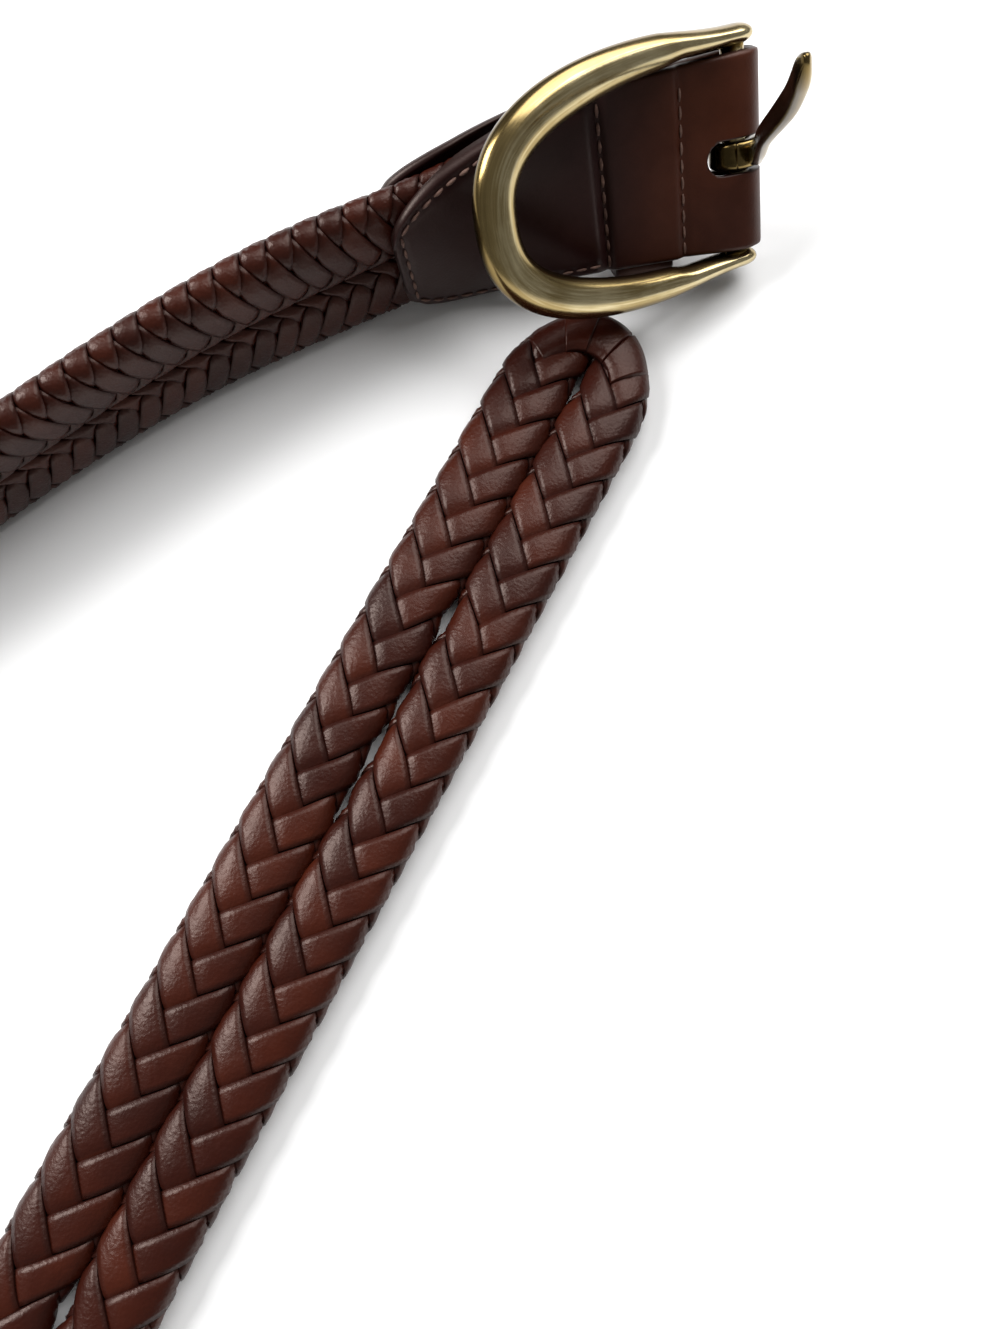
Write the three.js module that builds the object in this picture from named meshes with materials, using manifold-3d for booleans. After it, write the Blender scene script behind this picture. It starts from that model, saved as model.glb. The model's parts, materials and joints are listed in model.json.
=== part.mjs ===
// A braided leather belt with a solid brass buckle, unfastened and lying in an open loop.
// The buckle end stands on its lower edge with its inner face to the inside of the loop.
// The strap rolls over along the loop until the tip end lies flat, front face up.
// Millimetres, +Z up, the floor at z = 0, the origin under the middle of the belt.
import * as THREE from 'three';
import { mergeVertices } from 'three/addons/utils/BufferGeometryUtils.js';
import Module from 'manifold-3d';

// Strap
const BELT_LENGTH = 1000; // from the buckle's bar to the braid's tip
const BRAID_WIDTH = 30;
const BRAID_THICKNESS = 8;
const BRAID_PRESSED_WIDTH = 27.5; // inside the leather tab
const BRAID_PRESSED_THICKNESS = 5.2;
const TIP_ROUNDING = 21; // length of the rounded tip
const CLEARANCE = 0.3; // between neighbouring pieces

// Chape, the folded leather tab that holds the buckle
const CHAPE_WIDTH = 34.5; // at the bar
const CHAPE_FAR_WIDTH = 31.5; // where its end begins to round
const CHAPE_LENGTH = 69; // from the bar to its rounded end
const CHAPE_ROUNDING = 17;
const CHAPE_END_WIDTH = 13; // straight middle of the rounded end
const LEATHER_THICKNESS = 2.2;
const NEAR_STITCH = 11.5; // stitch rows, from the bar
const FAR_STITCH = 27;
const PLY_GAP = 0.8; // between the plies at their stitched rows and edges
const PLY_PARTING = 3; // length past the far row in which the plies part for the braid
const SLOT_WIDTH = 6.2;
const SLOT_REACH = 8.5; // from the bar, on both plies

// Keeper, the loop for the belt's tip
const KEEPER_WIDTH = 12;
const KEEPER_WALL = 1.8;
const KEEPER_ROOM = 8.5; // free height over the front ply, for the braid

// Buckle frame
const BAR_RADIUS = 2.2;
const FRAME_LENGTH = 54; // bar centre to the middle of the crossbar
const SIDE_PLAY = 0.4; // between the chape's edges and the arms
const FRAME_ROUND_START = 17; // where the arms begin to curve in
const RIM_WIDTH = 6.4; // of the crossbar's section
const RIM_THICKNESS = 6.2;
const RIM_WIDTH_AT_BAR = 3.6;
const RIM_THICKNESS_AT_BAR = 5.6;
const FRAME_SWING = 19; // degrees, folded back from the strap

// Tongue
const TONGUE_REACH = 57; // bar centre to the tip
const TONGUE_WIDTH = 4.2;
const TONGUE_THICKNESS = 2.6;
const EYE_WIDTH = 5;
const EYE_RADIUS = 5; // outside
const TONGUE_SWING = 54; // degrees, up from the crossbar
const TONGUE_LEAN = 14; // degrees, beyond the eye, towards the strap's upper edge

// How the strap lies, from the bar to the tip. share: of the belt's length. heading: degrees
// anticlockwise from +X, seen from above. roll: degrees, 0 with the front face up and 90
// standing on the lower edge. lift: off the floor, as a share of the braid's width.
const LAY = [
  { share: 0.0, heading: 195, roll: 134, lift: 0.19 },
  { share: 0.03, heading: 194, roll: 127, lift: 0.19 },
  { share: 0.06, heading: 200, roll: 100, lift: 0.02 },
  { share: 0.1, heading: 210, roll: 91, lift: 0.0 },
  { share: 0.15, heading: 218, roll: 84, lift: 0.0 },
  { share: 0.2, heading: 215, roll: 85, lift: 0.0 },
  { share: 0.3, heading: 209, roll: 72, lift: 0.0 },
  { share: 0.4, heading: 234, roll: 56, lift: 0.0 },
  { share: 0.5, heading: 304, roll: 36, lift: 0.0 },
  { share: 0.6, heading: 367, roll: 16, lift: 0.0 },
  { share: 0.7, heading: 407, roll: 3, lift: 0.0 },
  { share: 0.78, heading: 422, roll: 0, lift: 0.0 },
  { share: 0.84, heading: 422, roll: 0, lift: 0.0 },
  { share: 1.0, heading: 422, roll: 0, lift: 0.0 },
];
const LAY_STEPS = 500;

// The tongue's shank, bent a little up and down. share: of its reach. climb: 0 level with
// the top of the eye, 1 lying on the crossbar.
const TONGUE_WAVE = [
  { share: 0.02, climb: 0 },
  { share: 0.2, climb: -0.45 },
  { share: 0.45, climb: -1.0 },
  { share: 0.75, climb: 1.08 },
  { share: 0.93, climb: 1.15 },
  { share: 1.0, climb: 0.9 },
];

// The rounded ends of the frame's arms, behind the bar. back: share of the rim's thickness
// there. size: share of the arm's section.
const ARM_ENDS = [
  { back: 0.25, size: 1.0 },
  { back: 0.48, size: 0.62 },
];

// One half of the braid's section, from the groove to the outer edge.
// across: share of the half width. up: share of the half thickness.
const LOBE = [
  { across: 0.0, up: 0.42 },
  { across: 0.12, up: 0.72 },
  { across: 0.25, up: 0.94 },
  { across: 0.38, up: 1.0 },
  { across: 0.66, up: 1.0 },
  { across: 0.82, up: 0.86 },
  { across: 0.94, up: 0.5 },
  { across: 1.0, up: 0.0 },
];

const radians = THREE.MathUtils.degToRad;
const mix = THREE.MathUtils.lerp;
const ease = THREE.MathUtils.smoothstep;

// Smooth value of one column of the lay, through its rows.
function layValue(column, share) {
  const last = LAY.length - 1;
  const slope = (i) => {
    const before = LAY[Math.max(i - 1, 0)];
    const after = LAY[Math.min(i + 1, last)];
    return (after[column] - before[column]) / (after.share - before.share);
  };
  let i = 0;
  while (i < last - 1 && share >= LAY[i + 1].share) i += 1;
  const span = LAY[i + 1].share - LAY[i].share;
  const t = (share - LAY[i].share) / span;
  const rise = (LAY[i + 1][column] - LAY[i][column]) * (3 - 2 * t) * t * t;
  const start = slope(i) * span * t * (1 - t) * (1 - t);
  const end = slope(i + 1) * span * t * t * (t - 1);
  return LAY[i][column] + rise + start + end;
}

// Width of the folded tab before its rounded end is cut.
function tabWidth(distance) {
  const along = distance / (CHAPE_LENGTH - CHAPE_ROUNDING);
  return mix(CHAPE_WIDTH, CHAPE_FAR_WIDTH, Math.min(Math.max(along, 0), 1));
}

// Height of the strap's middle line when its lower edge rests on the floor.
function layHeight(distance) {
  const share = distance / BELT_LENGTH;
  const roll = radians(layValue('roll', share));
  const leave = ease(distance, CHAPE_LENGTH - CHAPE_ROUNDING, CHAPE_LENGTH + CHAPE_ROUNDING);
  const width = mix(tabWidth(distance), BRAID_WIDTH, leave);
  const sideways = Math.abs(Math.sin(roll)) * width / 2;
  const upright = Math.abs(Math.cos(roll)) * BRAID_THICKNESS / 2;
  const rest = Math.max(...LOBE.map((row) => row.across * sideways + row.up * upright));
  return rest + layValue('lift', share) * BRAID_WIDTH;
}

// The middle line, walked from the bar in equal steps of its own length.
function walkLay() {
  const step = BELT_LENGTH / LAY_STEPS;
  const points = [new THREE.Vector3(0, 0, layHeight(0))];
  for (let i = 1; i <= LAY_STEPS; i += 1) {
    const previous = points[i - 1];
    const heading = radians(layValue('heading', (i - 0.5) / LAY_STEPS));
    const height = layHeight(i * step);
    const climb = height - previous.z;
    const along = Math.sqrt(step * step - climb * climb);
    const x = previous.x + along * Math.cos(heading);
    const y = previous.y + along * Math.sin(heading);
    points.push(new THREE.Vector3(x, y, height));
  }
  return points;
}

const layPoints = walkLay();

// Middle point and directions of the strap at a distance from the bar.
// along: towards the tip. across: from the lower edge to the upper. front: out of the front face.
function strapAt(distance) {
  const step = BELT_LENGTH / LAY_STEPS;
  const inside = Math.min(Math.max(distance, 0), BELT_LENGTH);
  const i = Math.min(Math.floor(inside / step), LAY_STEPS - 1);
  const before = layPoints[Math.max(i - 1, 0)];
  const after = layPoints[Math.min(i + 2, LAY_STEPS)];
  const along = after.clone().sub(before).normalize();
  const point = layPoints[i].clone().lerp(layPoints[i + 1], inside / step - i);
  point.addScaledVector(along, distance - inside);
  const level = new THREE.Vector3(-along.y, along.x, 0).normalize();
  const above = along.clone().cross(level);
  const roll = radians(layValue('roll', inside / BELT_LENGTH));
  const across = level.multiplyScalar(Math.cos(roll)).addScaledVector(above, Math.sin(roll));
  const front = along.clone().cross(across);
  return { point, along, across, front };
}

// From strap coordinates (distance from the bar, across, towards the front) to the belt's frame.
function onStrap(distance, across, front) {
  const place = strapAt(distance);
  return place.point.addScaledVector(place.across, across).addScaledVector(place.front, front);
}

// A closed skin over a row of rings with equal numbers of points, capped at both ends.
function skinOver(rings) {
  const count = rings[0].length;
  const positions = [];
  const face = (a, b, c) => {
    for (const p of [a, b, c]) positions.push(p.x, p.y, p.z);
  };
  const middle = (ring) => {
    const sum = new THREE.Vector3();
    for (const p of ring) sum.add(p);
    return sum.divideScalar(count);
  };
  for (let i = 0; i < rings.length - 1; i += 1) {
    for (let j = 0; j < count; j += 1) {
      const k = (j + 1) % count;
      face(rings[i][j], rings[i][k], rings[i + 1][k]);
      face(rings[i][j], rings[i + 1][k], rings[i + 1][j]);
    }
  }
  const first = rings[0];
  const last = rings[rings.length - 1];
  for (let j = 0; j < count; j += 1) {
    const k = (j + 1) % count;
    face(middle(first), first[k], first[j]);
    face(middle(last), last[j], last[k]);
  }
  const geometry = new THREE.BufferGeometry();
  geometry.setAttribute('position', new THREE.Float32BufferAttribute(positions, 3));
  return geometry;
}

// Moves each vertex of a geometry by a function of its position.
function reshape(geometry, move) {
  const position = geometry.getAttribute('position');
  for (let i = 0; i < position.count; i += 1) {
    const p = move(position.getX(i), position.getY(i), position.getZ(i));
    position.setXYZ(i, p.x, p.y, p.z);
  }
  return geometry;
}

// Boolean work
const wasm = await Module();
wasm.setup();

function toSolid(geometry) {
  const bare = geometry.clone();
  bare.deleteAttribute('normal');
  bare.deleteAttribute('uv');
  const merged = mergeVertices(bare, 1e-4);
  const vertProperties = new Float32Array(merged.getAttribute('position').array);
  const triVerts = new Uint32Array(merged.index.array);
  return new wasm.Manifold(new wasm.Mesh({ numProp: 3, vertProperties, triVerts }));
}

function toGeometry(solid) {
  const mesh = solid.getMesh();
  const geometry = new THREE.BufferGeometry();
  geometry.setAttribute('position', new THREE.BufferAttribute(mesh.vertProperties, 3));
  geometry.setIndex(new THREE.BufferAttribute(mesh.triVerts, 1));
  return geometry.toNonIndexed();
}

// Braid: two round lobes side by side with a groove between them, pressed flat inside
// the chape and joined round the rounded tip.
function braidRing(distance) {
  const fromTip = BELT_LENGTH - distance;
  const inTip = Math.min(fromTip / TIP_ROUNDING, 1);
  const roundWidth = Math.sqrt(1 - (1 - inTip) ** 2);
  const roundHeight = (1 - (1 - inTip) ** 2) ** 0.3;
  const free = ease(distance, CHAPE_LENGTH - CHAPE_ROUNDING, CHAPE_LENGTH + CHAPE_ROUNDING);
  const halfWidth = mix(BRAID_PRESSED_WIDTH, BRAID_WIDTH, free) / 2 * roundWidth;
  const halfHeight = mix(BRAID_PRESSED_THICKNESS, BRAID_THICKNESS, free) / 2;
  const fill = 1 - ease(fromTip, TIP_ROUNDING / 4, TIP_ROUNDING);
  const upper = LOBE.map((row) => {
    const up = mix(row.up, Math.max(row.up, 0.9 * Math.sqrt(1 - row.across ** 2)), fill);
    return { u: row.across * halfWidth, n: up * halfHeight };
  });
  const flat = -halfHeight; // the tip settles on the floor
  const sink = (n) => mix(flat + (n - flat) * roundHeight, n, ease(fromTip, 0, TIP_ROUNDING));
  const ring = [];
  for (let i = 0; i < upper.length; i += 1) ring.push([-upper[i].u, upper[i].n]);
  for (let i = upper.length - 2; i >= 0; i -= 1) ring.push([-upper[i].u, -upper[i].n]);
  for (let i = 1; i < upper.length; i += 1) ring.push([upper[i].u, -upper[i].n]);
  for (let i = upper.length - 2; i > 0; i -= 1) ring.push([upper[i].u, upper[i].n]);
  return ring.map(([u, n]) => onStrap(distance, u, sink(n)));
}

function braidGeometry() {
  const start = FAR_STITCH + PLY_PARTING + CLEARANCE;
  const free = CHAPE_LENGTH + CHAPE_ROUNDING;
  const straightEnd = BELT_LENGTH - TIP_ROUNDING;
  const pressedCount = 14;
  const freeCount = 78;
  const rings = [];
  for (let i = 0; i < pressedCount; i += 1) {
    rings.push(braidRing(mix(start, free, i / pressedCount)));
  }
  for (let i = 0; i <= freeCount; i += 1) {
    rings.push(braidRing(mix(free, straightEnd, i / freeCount)));
  }
  for (const turn of [20, 38, 54, 68, 80]) {
    rings.push(braidRing(straightEnd + TIP_ROUNDING * Math.sin(radians(turn))));
  }
  return skinOver(rings);
}

// Chape: one leather strip folded round the bar. Its plies are pinched at the stitch rows,
// held apart by the keeper between them, and spread over the braid's pressed end.
const foldMiddle = BAR_RADIUS + CLEARANCE + LEATHER_THICKNESS / 2;
const keeperMiddle = KEEPER_WALL / 2 + CLEARANCE + LEATHER_THICKNESS / 2;
const sewnMiddle = PLY_GAP / 2 + LEATHER_THICKNESS / 2;
const braidMiddle = BRAID_PRESSED_THICKNESS / 2 + CLEARANCE + LEATHER_THICKNESS / 2;
const keeperCentre = (NEAR_STITCH + FAR_STITCH) / 2;

// Distance of a ply's middle from the strap's middle plane.
function plyHeight(distance, across) {
  if (distance < NEAR_STITCH) {
    return mix(foldMiddle, sewnMiddle, ease(distance, 0, NEAR_STITCH));
  }
  if (distance < FAR_STITCH) {
    const fromKeeper = Math.abs(distance - keeperCentre) - KEEPER_WIDTH / 2;
    return mix(keeperMiddle, sewnMiddle, ease(fromKeeper, 0, LEATHER_THICKNESS));
  }
  const dome = Math.sqrt(1 - Math.abs(2 * across / tabWidth(distance)) ** 5);
  const parted = ease(distance, FAR_STITCH, FAR_STITCH + PLY_PARTING);
  const freed = ease(distance, CHAPE_LENGTH - CHAPE_ROUNDING, CHAPE_LENGTH + CHAPE_ROUNDING);
  const full = braidMiddle + freed * (BRAID_THICKNESS - BRAID_PRESSED_THICKNESS) / 2;
  return mix(sewnMiddle, full, parted * dome);
}

function chapeHalfWidth(distance) {
  const past = Math.max(distance - (CHAPE_LENGTH - CHAPE_ROUNDING), 0) / CHAPE_ROUNDING;
  return mix(CHAPE_END_WIDTH, tabWidth(distance), Math.sqrt(1 - past ** 2)) / 2;
}

function chapeGeometry() {
  const acrossShares = [-1, -0.94, -0.84, -0.6, -0.3, 0, 0.3, 0.6, 0.84, 0.94, 1];
  const parted = FAR_STITCH + PLY_PARTING;
  const keeperStart = keeperCentre - KEEPER_WIDTH / 2;
  const keeperEnd = keeperCentre + KEEPER_WIDTH / 2;
  const overBraid = CHAPE_LENGTH - CHAPE_ROUNDING;
  const distances = [0];
  for (const share of [0.12, 0.3, 0.5, 0.7, 0.88]) distances.push(share * NEAR_STITCH);
  distances.push(NEAR_STITCH, keeperStart, keeperCentre, keeperEnd);
  distances.push(FAR_STITCH, (FAR_STITCH + parted) / 2);
  for (const share of [0, 0.2, 0.4, 0.6, 0.8, 1]) distances.push(mix(parted, overBraid, share));
  for (const turn of [18, 36, 52, 66, 78, 90]) {
    distances.push(overBraid + CHAPE_ROUNDING * Math.sin(radians(turn)));
  }
  const half = LEATHER_THICKNESS / 2;
  const ringAt = (distance) => {
    const width = chapeHalfWidth(distance);
    const line = (offset) => acrossShares.map((share) => {
      const front = plyHeight(distance, share * width) + offset;
      return new THREE.Vector3(distance, share * width, front);
    });
    const outer = line(half);
    const inner = line(-half).reverse();
    return [...outer, ...inner];
  };
  const foldRing = (turn) => {
    const line = (radius) => acrossShares.map((share) => {
      const x = -radius * Math.sin(turn);
      return new THREE.Vector3(x, share * CHAPE_WIDTH / 2, radius * Math.cos(turn));
    });
    return [...line(foldMiddle + half), ...line(foldMiddle - half).reverse()];
  };
  const rings = distances.slice(1).reverse().map(ringAt);
  const foldSteps = 12;
  for (let i = 0; i <= foldSteps; i += 1) rings.push(foldRing(Math.PI * i / foldSteps));
  for (const distance of distances.slice(1)) {
    rings.push(ringAt(distance).map((p) => new THREE.Vector3(p.x, p.y, -p.z)));
  }
  const strip = toSolid(skinOver(rings));
  const slot = toSolid(slotGeometry());
  return reshape(toGeometry(strip.subtract(slot)), onStrap);
}

// The tongue's slot, a long hole with round ends through the fold and both plies.
function slotGeometry() {
  const round = SLOT_WIDTH / 2;
  const start = -foldMiddle - LEATHER_THICKNESS - round;
  const outline = new THREE.Shape();
  outline.moveTo(start, -round);
  outline.lineTo(SLOT_REACH - round, -round);
  outline.absarc(SLOT_REACH - round, 0, round, -Math.PI / 2, Math.PI / 2, false);
  outline.lineTo(start, round);
  outline.closePath();
  const depth = 2 * (foldMiddle + LEATHER_THICKNESS); // through both plies
  const prism = new THREE.ExtrudeGeometry(outline, { depth, bevelEnabled: false, curveSegments: 8 });
  return prism.translate(0, 0, -depth / 2);
}

// Keeper: a leather loop. Its flat run is sewn in between the chape's plies and its
// arch stands over the front ply, to take the belt's tip.
function keeperGeometry() {
  const plyTop = keeperMiddle + LEATHER_THICKNESS / 2;
  const spring = plyTop / 2; // where the arch starts to round over
  const innerHalf = CHAPE_WIDTH / 2 + CLEARANCE;
  const roundness = 0.8;
  const arch = (half, low, high) => {
    const points = [new THREE.Vector2(-half, low)];
    const count = 16;
    for (let i = 0; i <= count; i += 1) {
      const turn = Math.PI * (1 - i / count);
      const height = mix(spring, high, Math.sin(turn) ** roundness);
      points.push(new THREE.Vector2(half * Math.cos(turn), height));
    }
    points.push(new THREE.Vector2(half, low));
    return points;
  };
  const top = plyTop + KEEPER_ROOM;
  const outside = arch(innerHalf + KEEPER_WALL, -KEEPER_WALL / 2, top + KEEPER_WALL);
  const inside = arch(innerHalf, KEEPER_WALL / 2, top);
  const outline = new THREE.Shape(outside);
  outline.holes.push(new THREE.Path(inside.reverse()));
  const band = new THREE.ExtrudeGeometry(outline, {
    depth: KEEPER_WIDTH, steps: 3, bevelEnabled: false,
  });
  const start = keeperCentre - KEEPER_WIDTH / 2;
  return reshape(band, (u, n, s) => onStrap(start + s, u, n));
}

// Buckle frame: a rounded horseshoe, thick at the crossbar and lighter at its two ends,
// which the bar joins. Local axes: x along the bar, y to the crossbar, z out of its front.
const openingHalf = CHAPE_WIDTH / 2 + SIDE_PLAY;

// The rim's share of its full section: 0 at the arms' ends, 1 at the crossbar's middle.
const rimFullness = (share) => Math.sin(Math.PI * share) ** 2;
const rimWidth = (share) => mix(RIM_WIDTH_AT_BAR, RIM_WIDTH, rimFullness(share));
const rimThickness = (share) => mix(RIM_THICKNESS_AT_BAR, RIM_THICKNESS, rimFullness(share));

// Middle of the rim, from one arm's end round the crossbar to the other's.
function rimPlace(share) {
  const half = openingHalf + rimWidth(share) / 2;
  const armShare = 0.26;
  const side = share < 0.5 ? 1 : -1;
  const fromEnd = Math.min(share, 1 - share);
  if (fromEnd < armShare) {
    return new THREE.Vector3(side * half, FRAME_ROUND_START * fromEnd / armShare, 0);
  }
  const turn = Math.PI / 2 * (fromEnd - armShare) / (0.5 - armShare);
  const x = side * half * Math.cos(turn) ** 0.8;
  const y = mix(FRAME_ROUND_START, FRAME_LENGTH, Math.sin(turn) ** 0.92);
  return new THREE.Vector3(x, y, 0);
}

function frameGeometry() {
  const stations = 56;
  const sides = 12;
  const rings = [];
  for (let i = 0; i <= stations; i += 1) {
    const share = i / stations;
    const nearby = 0.004;
    const before = rimPlace(Math.max(share - nearby, 0));
    const after = rimPlace(Math.min(share + nearby, 1));
    const along = after.sub(before).normalize();
    const outward = new THREE.Vector3(along.y, -along.x, 0);
    const ring = [];
    for (let j = 0; j < sides; j += 1) {
      const turn = -2 * Math.PI * j / sides;
      const p = rimPlace(share).addScaledVector(outward, rimWidth(share) / 2 * Math.cos(turn));
      p.z = rimThickness(share) / 2 * Math.sin(turn);
      ring.push(p);
    }
    rings.push(ring);
  }
  const endRing = (ring, row) => {
    const middle = new THREE.Vector3();
    for (const p of ring) middle.add(p);
    middle.divideScalar(sides);
    const back = row.back * RIM_THICKNESS_AT_BAR;
    return ring.map((p) => p.clone().lerp(middle, 1 - row.size).setY(-back));
  };
  const firstEnd = ARM_ENDS.map((row) => endRing(rings[0], row)).reverse();
  const lastEnd = ARM_ENDS.map((row) => endRing(rings[stations], row));
  const rim = toSolid(skinOver([...firstEnd, ...rings, ...lastEnd]));
  const barLength = 2 * openingHalf + RIM_WIDTH_AT_BAR;
  const barShape = new THREE.CylinderGeometry(BAR_RADIUS, BAR_RADIUS, barLength, 16);
  const bar = toSolid(barShape.rotateZ(Math.PI / 2));
  return toGeometry(rim.add(bar));
}

// Tongue: a brass strip rolled into an eye round the bar, with a slightly wavy shank
// that reaches over the crossbar. Local axes as the frame's.
function tongueGeometry() {
  const eyeShape = new THREE.Shape();
  eyeShape.absarc(0, 0, EYE_RADIUS, 0, 2 * Math.PI, false);
  const bore = new THREE.Path();
  bore.absarc(0, 0, BAR_RADIUS + CLEARANCE, 0, 2 * Math.PI, true);
  eyeShape.holes.push(bore);
  const eye = new THREE.ExtrudeGeometry(eyeShape, {
    depth: EYE_WIDTH, bevelEnabled: false, curveSegments: 12,
  });
  eye.translate(0, 0, -EYE_WIDTH / 2).rotateY(Math.PI / 2).rotateX(Math.PI / 2);

  const overEye = EYE_RADIUS - TONGUE_THICKNESS / 2 - 0.1;
  const overCrossbar = RIM_THICKNESS / 2 + CLEARANCE + TONGUE_THICKNESS / 2;
  const line = new THREE.CatmullRomCurve3(TONGUE_WAVE.map((row) => {
    const height = mix(overEye, overCrossbar, row.climb);
    return new THREE.Vector3(0, row.share * TONGUE_REACH, height);
  }));
  const stations = 22;
  const sides = 10;
  const boxy = (value) => Math.sign(value) * Math.abs(value) ** 0.7; // towards a square section
  const rings = [];
  for (let i = 0; i <= stations; i += 1) {
    const share = i / stations;
    const centre = line.getPoint(share);
    const slope = line.getTangent(share);
    const upward = new THREE.Vector3(0, -slope.z, slope.y);
    const blunt = Math.sqrt(1 - 0.8 * Math.max((share - 0.9) / 0.1, 0) ** 2);
    const waist = 1 - 0.14 * Math.sin(Math.PI * Math.min(share / 0.7, 1));
    const halfWidth = TONGUE_WIDTH / 2 * waist * blunt;
    const halfThickness = TONGUE_THICKNESS / 2 * blunt;
    const ring = [];
    for (let j = 0; j < sides; j += 1) {
      const turn = -2 * Math.PI * (j + 0.5) / sides;
      const p = centre.clone().addScaledVector(upward, boxy(Math.sin(turn)) * halfThickness);
      p.x = boxy(Math.cos(turn)) * halfWidth;
      ring.push(p);
    }
    rings.push(ring);
  }
  const lean = Math.tan(radians(TONGUE_LEAN));
  const shank = reshape(skinOver(rings), (x, y, z) => {
    return new THREE.Vector3(x + lean * Math.max(y - EYE_RADIUS, 0), y, z);
  });
  return toGeometry(toSolid(eye).add(toSolid(shank)));
}

// Finishes
const bridle = new THREE.MeshStandardMaterial({ color: '#5a2216', roughness: 0.42, metalness: 0 });
const tabLeather = new THREE.MeshStandardMaterial({ color: '#3b1a18', roughness: 0.5, metalness: 0 });
const brass = new THREE.MeshStandardMaterial({ color: '#b79755', roughness: 0.3, metalness: 1 });

function named(name, geometry, material) {
  const flat = geometry.index ? geometry.toNonIndexed() : geometry;
  flat.deleteAttribute('uv');
  flat.computeVertexNormals();
  const mesh = new THREE.Mesh(flat, material);
  mesh.name = name;
  return mesh;
}

// Stands a group on the bar with its y axis turned up from the strap by some degrees.
function hingeGroup(degrees) {
  const { point, along, across, front } = strapAt(0);
  const group = new THREE.Group();
  group.position.copy(point);
  const swing = radians(degrees);
  const reach = along.clone().multiplyScalar(Math.cos(swing));
  reach.addScaledVector(front, -Math.sin(swing));
  const outward = across.clone().cross(reach);
  group.quaternion.setFromRotationMatrix(new THREE.Matrix4().makeBasis(across, reach, outward));
  return group;
}

const belt = new THREE.Group();
belt.add(named('braid', braidGeometry(), bridle));
belt.add(named('chape', chapeGeometry(), tabLeather));
belt.add(named('keeper', keeperGeometry(), tabLeather));

const frameHinge = hingeGroup(FRAME_SWING);
frameHinge.add(named('buckle_frame', frameGeometry(), brass));
const tongueHinge = hingeGroup(FRAME_SWING + TONGUE_SWING);
tongueHinge.add(named('tongue', tongueGeometry(), brass));
belt.add(frameHinge, tongueHinge);

// The origin goes to the floor under the middle of the belt.
belt.updateMatrixWorld(true);
const box = new THREE.Box3().setFromObject(belt, true);
const centre = box.getCenter(new THREE.Vector3());
belt.position.set(-centre.x, -centre.y, -box.min.z);

export default belt;
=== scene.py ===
# A braided leather belt with a brass buckle, unfastened and lying in an open loop.
import json

import bpy
import numpy as np
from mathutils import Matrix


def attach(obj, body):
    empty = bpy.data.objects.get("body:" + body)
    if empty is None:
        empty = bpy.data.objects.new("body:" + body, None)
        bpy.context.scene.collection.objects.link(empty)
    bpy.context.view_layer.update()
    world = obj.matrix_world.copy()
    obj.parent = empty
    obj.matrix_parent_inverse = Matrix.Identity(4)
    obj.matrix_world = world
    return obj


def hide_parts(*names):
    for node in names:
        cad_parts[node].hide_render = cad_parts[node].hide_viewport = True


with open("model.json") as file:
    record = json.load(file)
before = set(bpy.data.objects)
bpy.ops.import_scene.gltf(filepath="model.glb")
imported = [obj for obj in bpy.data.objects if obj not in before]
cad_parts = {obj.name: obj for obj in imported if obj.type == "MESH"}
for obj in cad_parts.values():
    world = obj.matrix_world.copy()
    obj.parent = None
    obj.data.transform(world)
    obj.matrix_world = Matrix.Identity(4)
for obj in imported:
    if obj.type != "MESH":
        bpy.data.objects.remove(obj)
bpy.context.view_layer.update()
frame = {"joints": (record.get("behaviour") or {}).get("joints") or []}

# Braid: two round plaits of eight flat leather laces each, lying side by side with a groove
# between them. Every lace goes over two others and under two, so each face of a plait
# shows two columns of short tiles that meet in a herringbone.
MM = 0.001
BELT_LENGTH = 1000.0  # from the buckle's bar to the tip, as all distances along the strap
BRAID_WIDTH = 30.0
BRAID_THICKNESS = 8.0
BRAID_PRESSED_WIDTH = 27.5  # inside the leather tab
BRAID_PRESSED_THICKNESS = 5.2
TIP_ROUNDING = 21.0
CHAPE_WIDTH = 34.5
CHAPE_FAR_WIDTH = 31.5
CHAPE_LENGTH = 69.0
CHAPE_ROUNDING = 17.0

# How the strap lies. share: of its length. heading: degrees anticlockwise from +X. roll:
# degrees, 0 with the front face up, 90 on the lower edge. lift: share of the braid's width.
LAY = {
    "share": [0, 0.03, 0.06, 0.1, 0.15, 0.2, 0.3, 0.4, 0.5, 0.6, 0.7, 0.78, 0.84, 1],
    "heading": [195, 194, 200, 210, 218, 215, 209, 234, 304, 367, 407, 422, 422, 422],
    "roll": [134, 127, 100, 91, 84, 85, 72, 56, 36, 16, 3, 0, 0, 0],
    "lift": [0.19, 0.19, 0.02, 0, 0, 0, 0, 0, 0, 0, 0, 0, 0, 0],
}
LAY_STEPS = 500

# Half of the braid's section, in shares of its half width and half thickness.
SECTION = {
    "across": [0, 0.12, 0.25, 0.38, 0.66, 0.82, 0.94, 1],
    "up": [0.42, 0.72, 0.94, 1, 1, 0.86, 0.5, 0],
}


def ease(value, start, end):
    """A smooth step from 0 at start to 1 at end."""
    t = np.clip((value - start) / (end - start), 0, 1)
    return t * t * (3 - 2 * t)


def mix(a, b, share):
    """The value that lies a share of the way from a to b."""
    return a + (b - a) * share


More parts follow.
